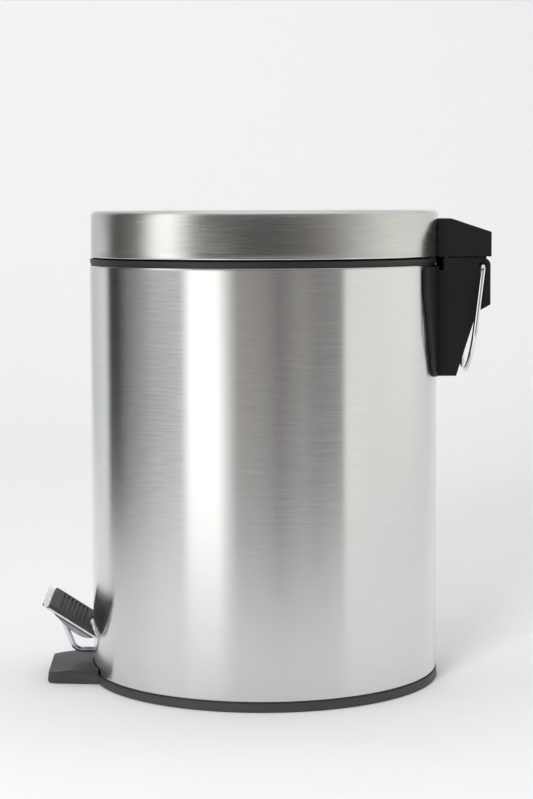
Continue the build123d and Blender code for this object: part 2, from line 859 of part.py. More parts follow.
# ---------------------------------------------------------------- bucket bail
b = 2.3
kb = b * (1 - math.sqrt(0.5))
with BuildPart() as bucket_bail:
    with BuildLine(Plane.XY.offset(BAIL_Z)) as bail_path:
        Line((88.6, 0), (BAIL_X - b, 0))
        ThreePointArc((BAIL_X - b, 0), (BAIL_X - kb, -kb), (BAIL_X, -b))
        ThreePointArc((BAIL_X, -b), (0, -b - BAIL_X), (-BAIL_X, -b))
        ThreePointArc((-BAIL_X, -b), (-BAIL_X + kb, -kb), (-BAIL_X + b, 0))
        Line((-BAIL_X + b, 0), (-88.6, 0))
    with BuildSketch(Plane(origin=bail_path.line @ 0, z_dir=bail_path.line % 0)):
        Circle(BAIL_R)
    sweep(path=bail_path.line)
done(bucket_bail, "bucket_bail")

print(len(parts), "nodes written")
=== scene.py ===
import bpy
import bmesh
import math
import random
from mathutils import Matrix, Vector


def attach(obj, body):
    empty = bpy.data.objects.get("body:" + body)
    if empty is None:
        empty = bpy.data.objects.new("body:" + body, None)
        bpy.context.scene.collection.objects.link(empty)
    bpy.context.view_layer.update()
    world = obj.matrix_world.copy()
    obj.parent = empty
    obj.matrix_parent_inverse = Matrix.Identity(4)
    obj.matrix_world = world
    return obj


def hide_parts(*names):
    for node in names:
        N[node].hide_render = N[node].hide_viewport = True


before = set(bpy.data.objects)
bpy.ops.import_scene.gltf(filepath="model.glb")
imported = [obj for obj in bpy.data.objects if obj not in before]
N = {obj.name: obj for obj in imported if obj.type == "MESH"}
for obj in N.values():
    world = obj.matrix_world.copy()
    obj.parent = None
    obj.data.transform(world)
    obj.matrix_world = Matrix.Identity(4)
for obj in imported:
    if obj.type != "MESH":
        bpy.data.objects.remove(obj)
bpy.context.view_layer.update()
MM = 0.001


# ------------------------------------------------------------------ mesh tools
def make(name, verts, faces, uvs=None, sharp=35.0, merge=1e-7):
    me = bpy.data.meshes.new(name)
    bm = bmesh.new()
    layer = bm.loops.layers.uv.new("grain")
    vs = [bm.verts.new(v) for v in verts]
    for k, f in enumerate(faces):
        try:
            face = bm.faces.new([vs[i] for i in f])
        except ValueError:
            continue
        if uvs is not None:
            for loop, c in zip(face.loops, uvs[k]):
                loop[layer].uv = c
    bmesh.ops.remove_doubles(bm, verts=bm.verts, dist=merge)
    bmesh.ops.dissolve_degenerate(bm, edges=bm.edges, dist=1e-8)
    bmesh.ops.recalc_face_normals(bm, faces=bm.faces)
    bm.to_mesh(me)
    bm.free()
    me.shade_smooth()
    if sharp is not None:
        me.set_sharp_from_angle(angle=math.radians(sharp))
    ob = bpy.data.objects.new(name, me)
    bpy.context.scene.collection.objects.link(ob)
    return ob


def rounded(points, seg=5):
    """points: (a, b, radius). Returns the same line with arcs at its corners."""
    out = []
    n = len(points)
    for i, (x, y, r) in enumerate(points):
        if r <= 0 or i == 0 or i == n - 1:
            out.append((x, y))
            continue
        p = Vector((x, y))
        a = Vector(points[i - 1][:2]) - p
        b = Vector(points[i + 1][:2]) - p
        a.normalize()
        b.normalize()
        half = a.angle(b) / 2
        t = r / math.tan(half)
        c = p + (a + b).normalized() * (r / math.sin(half))
        s, e = p + a * t - c, p + b * t - c
        for k in range(seg + 1):
            w = k / seg
            ang = s.angle_signed(e)
            ca_, sa_ = math.cos(-ang * w), math.sin(-ang * w)
            out.append((c.x + s.x * ca_ - s.y * sa_, c.y + s.x * sa_ + s.y * ca_))
    return out


def lathe(name, prof, segs=256, cy=0.0, closed=False, skip=None, sharp=35.0):
    """prof in mm as (r, z); turned about the vertical through (0, cy)."""
    pts = [(r * MM, z * MM) for r, z in prof]
    n = len(pts)
    along = [0.0]
    for i in range(1, n):
        along.append(along[-1] + math.dist(pts[i], pts[i - 1]))
    along.append(along[-1] + math.dist(pts[0], pts[-1]))
    rmax = max(p[0] for p in pts)
    verts, faces, uvs = [], [], []
    for j in range(segs):
        a = 2 * math.pi * j / segs
        for r, z in pts:
            verts.append((r * math.cos(a), cy * MM + r * math.sin(a), z))
    for j in range(segs):
        j2 = (j + 1) % segs
        a0, a1 = 2 * math.pi * j / segs, 2 * math.pi * (j + 1) / segs
        for i in range(n if closed else n - 1):
            i2 = (i + 1) % n
            if skip and skip((a0 + a1) / 2, (pts[i][1] + pts[i2][1]) / 2 / MM):
                continue
            faces.append((j * n + i, j2 * n + i, j2 * n + i2, j * n + i2))
            u0, u1, v0, v1 = a0 * rmax, a1 * rmax, along[i], along[i + 1]
            uvs.append(((u0, v0), (u1, v0), (u1, v1), (u0, v1)))
    return make(name, verts, faces, uvs, sharp)


def arc_path(points, radii, step=6.0):
    """3-D polyline in mm with arcs at its inner corners."""
    P = [Vector(p) for p in points]
    out = [P[0]]
    for i in range(1, len(P) - 1):
        p, r = P[i], radii[i - 1]
        a = (P[i - 1] - p).normalized()
        b = (P[i + 1] - p).normalized()
        ang = a.angle(b)
        t = r / math.tan(ang / 2)
        c = p + (a + b).normalized() * (r / math.sin(ang / 2))
        s, e = p + a * t - c, p + b * t - c
        turn = s.angle(e)
        k = max(3, int(math.degrees(turn) / step))
        axis = s.cross(e).normalized()
        for q in range(k + 1):
            out.append(c + Matrix.Rotation(turn * q / k, 3, axis) @ s)
    out.append(P[-1])
    return out


def tube(name, pts, r, segs=20, closed=False, end_round=0.35):
    """Tube in mm along a dense line of points."""
    P = [Vector(p) for p in pts]
    n = len(P)
    T = []
    for i in range(n):
        if closed:
            T.append((P[(i + 1) % n] - P[i - 1]).normalized())
        else:
            T.append((P[min(i + 1, n - 1)] - P[max(i - 1, 0)]).normalized())
    ref = Vector((1, 0, 0)) if abs(T[0].x) < 0.8 else Vector((0, 0, 1))
    u = (ref - T[0] * ref.dot(T[0])).normalized()
    rings, length, acc = [], [], 0.0
    for i in range(n):
        if i:
            acc += (P[i] - P[i - 1]).length
            u = (u - T[i] * u.dot(T[i])).normalized()
        w = T[i].cross(u)
        rings.append((P[i], u.copy(), w, T[i], r))
        length.append(acc)
    if not closed:
        e = end_round * r
        first, last = rings[0], rings[-1]
        rings = (
            [(first[0], first[1], first[2], first[3], r - e),
             (first[0] + first[3] * e, first[1], first[2], first[3], r)]
            + rings[1:-1]
            + [(last[0] - last[3] * e, last[1], last[2], last[3], r),
               (last[0], last[1], last[2], last[3], r - e)]
        )
        length = [0, e] + length[1:-1] + [acc - e, acc]
    verts, faces, uvs = [], [], []
    for c, a, b, _, rr in rings:
        for k in range(segs):
            t = 2 * math.pi * k / segs
            verts.append((c + (a * math.cos(t) + b * math.sin(t)) * rr) * MM)
    m = len(rings)
    for i in range(m if closed else m - 1):
        i2 = (i + 1) % m
        for k in range(segs):
            k2 = (k + 1) % segs
            faces.append((i * segs + k, i * segs + k2, i2 * segs + k2, i2 * segs + k))
            v0 = length[i] * MM
            v1 = (length[i2] if i2 > i else acc) * MM
            u0, u1 = k / segs * 0.01, (k + 1) / segs * 0.01
            uvs.append(((u0, v0), (u1, v0), (u1, v1), (u0, v1)))
    if not closed:
        faces.append(tuple(range(segs))[::-1])
        uvs.append([(0, 0)] * segs)
        faces.append(tuple((m - 1) * segs + k for k in range(segs)))
        uvs.append([(0, 0)] * segs)
    return make(name, verts, faces, uvs, 50.0)


# ------------------------------------------------------------------ materials
def new_mat(name):
    m = bpy.data.materials.new(name)
    m.use_nodes = True
    nt = m.node_tree
    for nd in list(nt.nodes):
        nt.nodes.remove(nd)
    out = nt.nodes.new("ShaderNodeOutputMaterial")
    b = nt.nodes.new("ShaderNodeBsdfPrincipled")
    nt.links.new(b.outputs[0], out.inputs[0])
    return m, nt, b


def node(nt, kind, **kw):
    nd = nt.nodes.new(kind)
    for k, v in kw.items():
        setattr(nd, k, v)
    return nd


def mapping(nt, coord, scale, rot=(0, 0, 0)):
    mp = node(nt, "ShaderNodeMapping")
    mp.inputs["Scale"].default_value = scale
    mp.inputs["Rotation"].default_value = rot
    nt.links.new(coord, mp.inputs["Vector"])
    return mp.outputs["Vector"]


def noise(nt, vec, scale, detail=3.0, rough=0.5):
    t = node(nt, "ShaderNodeTexNoise")
    t.inputs["Scale"].default_value = scale
    t.inputs["Detail"].default_value = detail
    t.inputs["Roughness"].default_value = rough
    nt.links.new(vec, t.inputs["Vector"])
    return t.outputs["Fac"]


def remap(nt, val, a, b, lo, hi):
    t = node(nt, "ShaderNodeMapRange")
    t.inputs["From Min"].default_value = a
    t.inputs["From Max"].default_value = b
    t.inputs["To Min"].default_value = lo
    t.inputs["To Max"].default_value = hi
    nt.links.new(val, t.inputs["Value"])
    return t.outputs["Result"]


def mixf(nt, a, b, fac=0.5, mode="MIX"):
    t = node(nt, "ShaderNodeMath", operation={"MIX": "ADD"}.get(mode, mode))
    if mode == "MIX":
        m1 = node(nt, "ShaderNodeMath", operation="MULTIPLY")
        m2 = node(nt, "ShaderNodeMath", operation="MULTIPLY")
        m1.inputs[1].default_value = 1 - fac
        m2.inputs[1].default_value = fac
        nt.links.new(a, m1.inputs[0])
        nt.links.new(b, m2.inputs[0])
        nt.links.new(m1.outputs[0], t.inputs[0])
        nt.links.new(m2.outputs[0], t.inputs[1])
    else:
        nt.links.new(a, t.inputs[0])
        nt.links.new(b, t.inputs[1])
    return t.outputs[0]


def colour(nt, fac, c0, c1, p0=0.0, p1=1.0):
    t = node(nt, "ShaderNodeValToRGB")
    t.color_ramp.elements[0].position = p0
    t.color_ramp.elements[1].position = p1
    t.color_ramp.elements[0].color = (*c0, 1)
    t.color_ramp.elements[1].color = (*c1, 1)
    nt.links.new(fac, t.inputs["Fac"])
    return t.outputs["Color"]


def bump(nt, b, height, distance, strength=1.0):
    t = node(nt, "ShaderNodeBump")
    t.inputs["Strength"].default_value = strength
    t.inputs["Distance"].default_value = distance
    nt.links.new(height, t.inputs["Height"])
    nt.links.new(t.outputs["Normal"], b.inputs["Normal"])


def brushed(name, base, rough, aniso, rot, grain=1.0, axis="uv", tilt=None):
    """Brushed sheet: long fine lines along u, with matching roughness. tilt is
    a slight barrel in the drawn side wall: slope low, slope high, z low, z high."""
    m, nt, b = new_mat(name)
    if axis == "uv":
        co = node(nt, "ShaderNodeUVMap", uv_map="grain").outputs["UV"]
        fine = mapping(nt, co, (70.0, 3600.0, 1.0))
        mid = mapping(nt, co, (48.0, 1250.0, 1.0))
        wide = mapping(nt, co, (14.0, 420.0, 1.0))
    else:
        co = node(nt, "ShaderNodeTexCoord").outputs["Object"]
        fine = mapping(nt, co, (70.0, 3600.0, 70.0))
        mid = mapping(nt, co, (48.0, 1250.0, 48.0))
        wide = mapping(nt, co, (14.0, 420.0, 14.0))
    n1 = noise(nt, fine, 1.0, 2.0)
    n2 = noise(nt, mid, 1.0, 3.0)
    n3 = noise(nt, wide, 1.0, 2.0)
    g = mixf(nt, mixf(nt, n1, n2, 0.5), n3, 0.12)
    lo = tuple(c * (1 - 0.10 * grain) for c in base)
    hi = tuple(min(1, c * (1 + 0.10 * grain)) for c in base)
    nt.links.new(colour(nt, g, lo, hi, 0.32, 0.68), b.inputs["Base Color"])
    nt.links.new(
        remap(nt, g, 0.3, 0.7, rough - 0.05 * grain, rough + 0.06 * grain),
        b.inputs["Roughness"],
    )
    b.inputs["Metallic"].default_value = 1.0
    b.inputs["Anisotropic"].default_value = aniso
    b.inputs["Anisotropic Rotation"].default_value = rot
    tg = node(nt, "ShaderNodeTangent")
    if axis == "uv":
        tg.direction_type = "UV_MAP"
        tg.uv_map = "grain"
        nt.links.new(tg.outputs[0], b.inputs["Tangent"])
    bump(nt, b, g, 0.00002 * grain, 0.6)
    if tilt:
        lo_s, hi_s, z0, z1 = tilt
        oc = node(nt, "ShaderNodeTexCoord").outputs["Object"]
        sp = node(nt, "ShaderNodeSeparateXYZ")
        nt.links.new(oc, sp.inputs[0])
        w = remap(nt, sp.outputs["Z"], z0 * MM, z1 * MM, 0.0, 1.0)
        h = (z1 - z0) * MM
        sq = node(nt, "ShaderNodeMath", operation="MULTIPLY")
        nt.links.new(w, sq.inputs[0])
        nt.links.new(w, sq.inputs[1])
        a1 = node(nt, "ShaderNodeMath", operation="MULTIPLY")
        a1.inputs[1].default_value = -lo_s * h
        a2 = node(nt, "ShaderNodeMath", operation="MULTIPLY")
        a2.inputs[1].default_value = -(hi_s - lo_s) * h / 2
        nt.links.new(w, a1.inputs[0])
        nt.links.new(sq.outputs[0], a2.inputs[0])
        ad = node(nt, "ShaderNodeMath", operation="ADD")
        nt.links.new(a1.outputs[0], ad.inputs[0])
        nt.links.new(a2.outputs[0], ad.inputs[1])
        t2 = node(nt, "ShaderNodeBump")
        t2.inputs["Strength"].default_value = 1.0
        t2.inputs["Distance"].default_value = 1.0
        nt.links.new(ad.outputs[0], t2.inputs["Height"])
        first = b.inputs["Normal"].links[0].from_node
        nt.links.new(t2.outputs["Normal"], first.inputs["Normal"])
    return m


def bright(name, base, rough, spots=0.5):
    m, nt, b = new_mat(name)
    co = node(nt, "ShaderNodeTexCoord").outputs["Object"]
    n1 = noise(nt, co, 900.0, 4.0, 0.6)
    n2 = noise(nt, co, 120.0, 3.0)
    g = mixf(nt, n1, n2, 0.5)
    nt.links.new(
        colour(nt, g, tuple(c * (1 - 0.08 * spots) for c in base), base, 0.35, 0.6),
        b.inputs["Base Color"],
    )
    nt.links.new(
        remap(nt, g, 0.3, 0.7, rough, rough + 0.08 * spots), b.inputs["Roughness"]
    )
    b.inputs["Metallic"].default_value = 1.0
    bump(nt, b, n2, 0.00003 * spots, 0.25)
    return m


def plastic(name, base, rough, tex=1400.0, depth=0.00002, wear=0.35, spec=0.5):
    m, nt, b = new_mat(name)
    co = node(nt, "ShaderNodeTexCoord").outputs["Object"]
    vo = node(nt, "ShaderNodeTexVoronoi")
    vo.inputs["Scale"].default_value = tex
    nt.links.new(co, vo.inputs["Vector"])
    n1 = noise(nt, co, tex * 0.5, 4.0, 0.6)
    n2 = noise(nt, co, 26.0, 4.0, 0.6)
    h = mixf(nt, vo.outputs["Distance"], n1, 0.5)
    nt.links.new(
        colour(
            nt, mixf(nt, n1, n2, 0.6),
            tuple(c * (1 - wear * 0.5) for c in base),
            tuple(c * (1 + wear) for c in base), 0.35, 0.7,
        ),
        b.inputs["Base Color"],
    )
    nt.links.new(remap(nt, n2, 0.3, 0.7, rough - 0.06, rough + 0.08), b.inputs["Roughness"])
    b.inputs["Specular IOR Level"].default_value = spec
    bump(nt, b, h, depth, 0.6)
    return m



def plate_steel_painted_light(name):
    """Pressed plate of the tread: a painted highlight along the rim, a painted shade line under it
    and painted shade greying the drawn skirt, with fine streaks of grain. Height is measured off the tread."""
    m, nt, b = new_mat(name)
    a = math.radians(33.0)
    co = node(nt, "ShaderNodeTexCoord").outputs["Object"]
    dot = node(nt, "ShaderNodeVectorMath", operation="DOT_PRODUCT")
    dot.inputs[1].default_value = (0.0, math.sin(a), math.cos(a))
    nt.links.new(co, dot.inputs[0])
    off = node(nt, "ShaderNodeMath", operation="SUBTRACT")
    off.inputs[1].default_value = (-0.0987 * math.sin(a) + 0.0297 * math.cos(a))
    nt.links.new(dot.outputs["Value"], off.inputs[0])
    h = off.outputs[0]
    ramp = node(nt, "ShaderNodeValToRGB")
    el = ramp.color_ramp.elements
    # colour stops by height: painted shade greying the skirt, a painted shade line under the rim, a painted
    # highlight along the rim
    stops = [(0.0, 0.42), (0.56, 0.40), (0.635, 0.36), (0.66, 0.03), (0.705, 0.03),
             (0.73, 0.84), (1.0, 0.84)]
    while len(el) > 1:
        el.remove(el[-1])
    for k, (pos, v) in enumerate(stops):
        e = el[0] if k == 0 else el.new(pos)
        e.position = pos
        e.color = (v, v * 0.99, v * 0.97, 1)
    nt.links.new(remap(nt, h, -0.0105, 0.0, 0.0, 1.0), ramp.inputs["Fac"])
    streak = noise(nt, mapping(nt, co, (90.0, 420.0, 260.0)), 1.0, 3.0)
    tone = colour(nt, streak, (0.62, 0.62, 0.62), (1.0, 1.0, 1.0), 0.36, 0.62)
    mul = node(nt, "ShaderNodeMix", data_type="RGBA", blend_type="MULTIPLY")
    mul.inputs["Factor"].default_value = 0.75
    nt.links.new(ramp.outputs["Color"], mul.inputs[6])
    nt.links.new(tone, mul.inputs[7])
    nt.links.new(mul.outputs[2], b.inputs["Base Color"])
    b.inputs["Metallic"].default_value = 1.0
    nt.links.new(remap(nt, streak, 0.3, 0.7, 0.16, 0.30), b.inputs["Roughness"])
    bump(nt, b, streak, 0.00008, 0.7)
    return m


plate_mat = plate_steel_painted_light("plate_steel_painted_light")
steel_side = brushed("steel_side", (0.72, 0.715, 0.70), 0.21, 0.93, 0.25, 0.62)
steel_lid = brushed("steel_lid", (0.71, 0.70, 0.67), 0.24, 0.35, 0.25, 0.7, tilt=(0.13, 0.19, 251.0, 274.0))
steel_top = brushed("steel_top", (0.66, 0.655, 0.63), 0.34, 0.5, 0.0, 0.9, "object")
chrome = bright("chrome_wire", (0.86, 0.86, 0.87), 0.09)
zinc = bright("zinc_wire", (0.72, 0.76, 0.80), 0.13, 0.4)
screw_mat = bright("screw_zinc", (0.62, 0.63, 0.65), 0.22, 1.0)
black = plastic("housing_black", (0.0085, 0.0082, 0.0092), 0.5, spec=0.28)
base_mat = plastic("base_black", (0.030, 0.030, 0.033), 0.50)
ring_mat = plastic("ring_black", (0.012, 0.012, 0.013), 0.45)
liner_mat = plastic("liner_black", (0.028, 0.028, 0.030), 0.48)
bucket_mat = plastic("bucket_black", (0.026, 0.027, 0.030), 0.44, 900.0, 0.00003)
bearing_mat = plastic("bearing_black", (0.045, 0.045, 0.05), 0.42)
rubber_pad = plastic("tread_rubber", (0.030, 0.030, 0.033), 0.62, 2200.0, 0.00003, 0.5)
rubber_foot = plastic("foot_rubber", (0.020, 0.020, 0.021), 0.75, 1500.0, 0.00004)
rubber_buf = plastic("buffer_rubber", (0.035, 0.035, 0.037), 0.7, 1800.0, 0.00003)


def put(ob, *mats):
    ob.data.materials.clear()
    for m in mats:
        ob.data.materials.append(m)


def soften(ob, width=0.35, angle=32, segments=2):
    """Small moulded edge radii on a carried-over CAD node."""
    w = ob.modifiers.new("weld", "WELD")
    w.merge_threshold = 1e-6
    b = ob.modifiers.new("edge_radius", "BEVEL")
    b.width = width * MM
    b.segments = segments
    b.limit_method = "ANGLE"
    b.angle_limit = math.radians(angle)
    b.use_clamp_overlap = True
    b.harden_normals = False
    b.miter_outer = "MITER_ARC"


# ------------------------------------------------------------------ camera
cam_d = bpy.data.cameras.new("camera")
cam = bpy.data.objects.new("camera", cam_d)
bpy.context.scene.collection.objects.link(cam)
cam_d.sensor_width = 36.0
cam_d.sensor_fit = "AUTO"
cam_d.lens = 91.15
cam_d.clip_start = 0.05
cam_d.clip_end = 50
right = Vector((0.03314, 0.99944, -0.00370))
fwd = Vector((-0.99520, 0.03266, -0.09224)).normalized()
right = (right - fwd * right.dot(fwd)).normalized()
up = right.cross(fwd)
rot = Matrix((right, up, -fwd)).transposed()
cam.matrix_world = Matrix.Translation((1.19949, -0.03770, 0.27579)) @ rot.to_4x4()
bpy.context.scene.camera = cam

# ------------------------------------------------------------------ body shell
SR = 102.5


def shell_cut(a, z):
    x, y = SR * math.cos(a), SR * math.sin(a)
    if y < 0 and abs(x) < 4.3 and z < 20.4:
        return True
    if y > 0 and abs(x) < 2.9 and 194.5 < z < 230.5:
        return True
    return False


zs = [6.1, 6.22, 6.5, 7.4, 12.0, 16.0, 19.2, 20.3, 20.5, 24.0]
zs += [24 + (194 - 24) * i / 22 for i in range(1, 23)] + [194.4, 194.6, 200.0]
zs += [206, 212, 218, 224, 230.4, 230.6, 236, 241, 243.8, 244.7, 245.05, 245.2]
prof = []
for z in zs:
    inset = 0.0
    if z < 6.5:
        inset = 0.22 * (1 - (z - 6.1) / 0.4) ** 2
    if z > 244.7:
        inset = 0.22 * ((z - 244.7) / 0.5) ** 2
    prof.append((SR - inset, z))
shell = lathe("body_shell", prof, 384, skip=shell_cut, sharp=None)
sol = shell.modifiers.new("sheet", "SOLIDIFY")
sol.thickness = 0.6 * MM
sol.offset = -1.0
sol.use_even_offset = True
put(shell, steel_side)
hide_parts("outer_shell")
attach(shell, "bin_body")

# ------------------------------------------------------------------ top ring
ring = lathe(
    "rim_ring",
    rounded(
        [
            (101.7, 231.0, 0), (101.7, 246.3, 0.1), (102.1, 246.35, 0.15),
            (102.2, 248.95, 0.45), (99.4, 249.0, 0.5), (99.4, 234.6, 0.4),
            (94.8, 234.6, 0.4), (94.8, 232.8, 0.4), (99.4, 232.8, 0.3),
            (99.4, 231.0, 0.2), (101.7, 231.0, 0),
        ],
        4,
    )[:-1],
    320, closed=True, sharp=50,
)
put(ring, ring_mat)
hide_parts("top_ring")
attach(ring, "bin_body")

# ------------------------------------------------------------------ lid cap
LR = 102.5
cap_prof = [(0.0, 277.0), (30, 276.98), (60, 276.93), (85, 276.86), (95, 276.82)]
for k in range(13):
    t = math.radians(90 - 90 * k / 12)
    cap_prof.append((LR - 0.35 - 3.2 + 3.2 * math.cos(t), 273.6 + 3.2 * math.sin(t)))
for k in range(1, 9):
    w = k / 8
    cap_prof.append((LR - 0.35 + 0.33 * w, 273.6 + (251.35 - 273.6) * w))
hem_c = (LR - 0.5, 250.5)
for k in range(1, 15):
    t = math.radians(40 - 250 * k / 14)
    cap_prof.append((hem_c[0] + 0.7 * math.cos(t), hem_c[1] + 0.7 * math.sin(t)))
cap_prof += [(LR - 1.0, 251.4), (LR - 0.95, 262.0), (LR - 0.95, 272.6)]
for k in range(1, 7):
    t = math.radians(90 * k / 6)
    cap_prof.append((LR - 3.55 + 2.6 * math.cos(t), 273.6 + 2.6 * math.sin(t)))
cap_prof += [(90, 276.22), (60, 276.3), (30, 276.35), (0.0, 276.4)]
cap = lathe("lid_cap", cap_prof, 384, cy=0.8, sharp=60)
put(cap, steel_lid, steel_top)
for p in cap.data.polygons:
    if p.center.z > 276.6 * MM:
        p.material_index = 1
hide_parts("lid_skin")
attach(cap, "lid")

# ------------------------------------------------------------------ tread
A = math.radians(33.0)
CA, SA = math.cos(A), math.sin(A)
TY, TZ = -98.7, 29.7


def tread(x, s, d):
    return Vector((x, TY - CA * s - SA * d, TZ + SA * s - CA * d)) * MM


def s_in(x, radius, d=0.0):
    y = -math.sqrt(radius ** 2 - x ** 2)
    return (TY - y - SA * d) / CA


def smooth(e0, e1, v):
    t = min(1.0, max(0.0, (v - e0) / (e1 - e0)))
    return t * t * (3 - 2 * t)


def pad_piece():
    """Ribbed rubber pad: straight grooves across the tread that stop short of
    its two sides, a plain band along the outer edge and rounded edges."""
    cols = []
    xs = [-1.0 + 2.0 * i / 64 for i in range(65)]
    edge = [0.0, 0.004, 0.012, 0.022]
    xs = sorted(set([-1 + e for e in edge] + [1 - e for e in edge] + xs[2:-2]
                    + [q * v / 27.8 for q in (-1, 1)
                       for v in (21.0, 21.4, 21.8, 22.9, 23.1, 23.3, 23.7, 24.1, 24.3, 24.5)]))
    s0, s1 = 8.2, 33.0
    rows = [(0.0, True), (0.06, True), (0.2, True), (0.6, True)]
    svals = []
    s = s0
    while s < s1 - 0.7:
        svals.append(s)
        s += 0.2
    svals += [s1 - 0.6, s1 - 0.3, s1 - 0.1, s1]
    grid = []
    pitch, first, count = 2.7, 10.0, 7

    def half(sv):
        if sv > s1 - 2.5:
            q = sv - (s1 - 2.5)
            return 27.8 - 2.5 + math.sqrt(max(0.0, 2.5 ** 2 - q * q))
        return 27.8

    def drop(x, sv, h, inner):
        d = 0.0
        e = min(h - abs(x), s1 - sv, inner)
        if e < 0.55:
            d += 0.55 - math.sqrt(max(0.0, 0.55 ** 2 - (0.55 - max(e, 0.0)) ** 2))
        for k in range(count):
            c = first + pitch * k
            w = 1 - smooth(0.4, 0.8, abs(sv - c))
            d += 0.95 * w * (1 - smooth(21.0, 21.8, abs(x)))
            e2 = 1 - smooth(0.75, 1.05, abs(sv - c))
            d += 0.8 * e2 * smooth(22.9, 23.3, abs(x)) * (1 - smooth(24.1, 24.5, abs(x)))
        # fine ribs between the grooves
        if first - 1.5 < sv < first + pitch * count and abs(x) < 22.0:
            d += 0.06 * (0.5 + 0.5 * math.cos(2 * math.pi * (sv - first) / (pitch / 3)))
        return d

    for w, _ in rows:
        line = []
        for t in xs:
            x = t * 27.8
            si = s_in(x, 104.0)
            sv = si + (s0 - si) * w
            line.append((x, sv, drop(x, sv, 27.8, (s0 - si) * w)))
        grid.append(line)
    for sv in svals:
        h = half(sv)
        line = []
        for t in xs:
            x = t * h
            line.append((x, sv, drop(x, sv, h, 9.0)))
        grid.append(line)
    verts, faces, uvs = [], [], []
    nx, ny = len(xs), len(grid)
    for line in grid:
        for x, sv, d in line:
            verts.append(tread(x, sv, d))
    top = len(verts)
    for line in grid:
        for x, sv, d in line:
            verts.append(tread(x, sv, 1.8))

    def uv(i, j):
        x, sv, _ = grid[j][i]
        return (x * MM, sv * MM)

    for j in range(ny - 1):
        for i in range(nx - 1):
            a, b_, c, d_ = j * nx + i, j * nx + i + 1, (j + 1) * nx + i + 1, (j + 1) * nx + i
            q = (uv(i, j), uv(i + 1, j), uv(i + 1, j + 1), uv(i, j + 1))
            faces.append((a, b_, c, d_))
            uvs.append(q)
            faces.append((top + d_, top + c, top + b_, top + a))
            uvs.append(q[::-1])
    ring_ids = (
        [(i, 0) for i in range(nx)] + [(nx - 1, j) for j in range(1, ny)]
        + [(i, ny - 1) for i in range(nx - 2, -1, -1)]
        + [(0, j) for j in range(ny - 2, 0, -1)]
    )
    for k in range(len(ring_ids)):
        (i, j), (i2, j2) = ring_ids[k], ring_ids[(k + 1) % len(ring_ids)]
        faces.append((j * nx + i, top + j * nx + i, top + j2 * nx + i2, j2 * nx + i2))
        uvs.append((uv(i, j), uv(i, j), uv(i2, j2), uv(i2, j2)))
    return make("tread_pad", verts, faces, uvs, 40.0)


pad = pad_piece()
put(pad, rubber_pad)
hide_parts("pedal_pad")
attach(pad, "pedal")

# ------------------------------------------------------------------ wires
wr, lz = 1.6, 14.6


def tp(s, depth):
    return (0.0, TY - CA * s - SA * depth, TZ + SA * s - CA * depth)


lever = tube(
    "lever_wire",
    arc_path([tp(8.0, 4.6), tp(26.6, 4.6), (0, -113.6, lz), (0, 98.6, lz)], [3.2, 6.5]),
    wr, 24,
)
put(lever, zinc)
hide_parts("pedal_lever")
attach(lever, "pedal")

tilt = math.radians(6.8)
HY, HZ = 127.2, 244.4


def hp(x, d):
    return Vector((x, HY - math.sin(tilt) * d, HZ - math.cos(tilt) * d))


hx, leg = 26.1, 36.5
left = arc_path([hp(20.2, 0), hp(hx, 0), hp(hx, leg)], [3.0])
bend = [
    hp(hx * math.cos(math.pi * k / 40), leg + hx * math.sin(math.pi * k / 40))
    for k in range(1, 40)
]
back = [Vector((-p.x, p.y, p.z)) for p in reversed(left)]
handle = tube("handle_wire", left + bend + back, 1.55, 24)
put(handle, chrome)
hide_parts("carry_handle")
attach(handle, "carry_handle")

# ------------------------------------------------------------------ CAD nodes
for names, mat, width in (
    (("hinge_bracket", "hinge_cover"), black, 0.4),
    (("base_moulding",), base_mat, 0.35),
    (("pedal_plate",), plate_mat, 0.3),
    (("lever_saddle",), zinc, 0.15),
):
    for nm in names:
        put(N[nm], mat)
        soften(N[nm], width)
for nm, mat in (
    ("floor_pads", rubber_foot), ("backing_plate", bearing_mat),
    ("bracket_screws", screw_mat), ("hinge_pin", screw_mat), ("rod_guide", bearing_mat),
    ("pivot_blocks", bearing_mat), ("pivot_screws", screw_mat), ("lid_liner", liner_mat),
    ("lid_buffers", rubber_buf), ("cover_screws", screw_mat), ("lever_axle", zinc),
    ("axle_washers", screw_mat), ("lift_rod", zinc), ("bucket", bucket_mat),
    ("bucket_bail", zinc),
):
    put(N[nm], mat)

# ------------------------------------------------------------------ stage


def sweep_stage():
    """Seamless pale floor that curves up into a wall behind the object."""
    prof = [(0.46, 0.0), (0.2, 0.0), (0.0, 0.0), (-0.6, 0.0), (-1.2, 0.0)]
    for k in range(1, 17):
        t = math.radians(90 * k / 16)
        prof.append((-1.2 - 0.9 * math.sin(t), 0.9 - 0.9 * math.cos(t)))
    prof += [(-2.1, 2.0), (-2.1, 2.6)]
    ys = [-0.62 + 2.0 * i / 24 for i in range(25)]
    verts = [(x, y, z) for x, z in prof for y in ys]
    faces = []
    n = len(ys)
    for i in range(len(prof) - 1):
        for j in range(n - 1):
            faces.append((i * n + j, i * n + j + 1, (i + 1) * n + j + 1, (i + 1) * n + j))
    return make("stage_sweep", verts, faces, None, None)


floor = sweep_stage()
bm = bmesh.new()
bm.from_mesh(floor.data)
for f in bm.faces:
    if f.normal.z < -0.5 or f.normal.x < -0.5:
        f.normal_flip()
bm.to_mesh(floor.data)
bm.free()
sm, nt, b = new_mat("stage_paper")
co = node(nt, "ShaderNodeTexCoord").outputs["Object"]
n1 = noise(nt, co, 60.0, 5.0, 0.6)
nt.links.new(colour(nt, n1, (0.855, 0.86, 0.875), (0.865, 0.869, 0.882), 0.3, 0.7), b.inputs["Base Color"])
b.inputs["Roughness"].default_value = 0.9
b.inputs["Specular IOR Level"].default_value = 0.15
put(floor, sm)

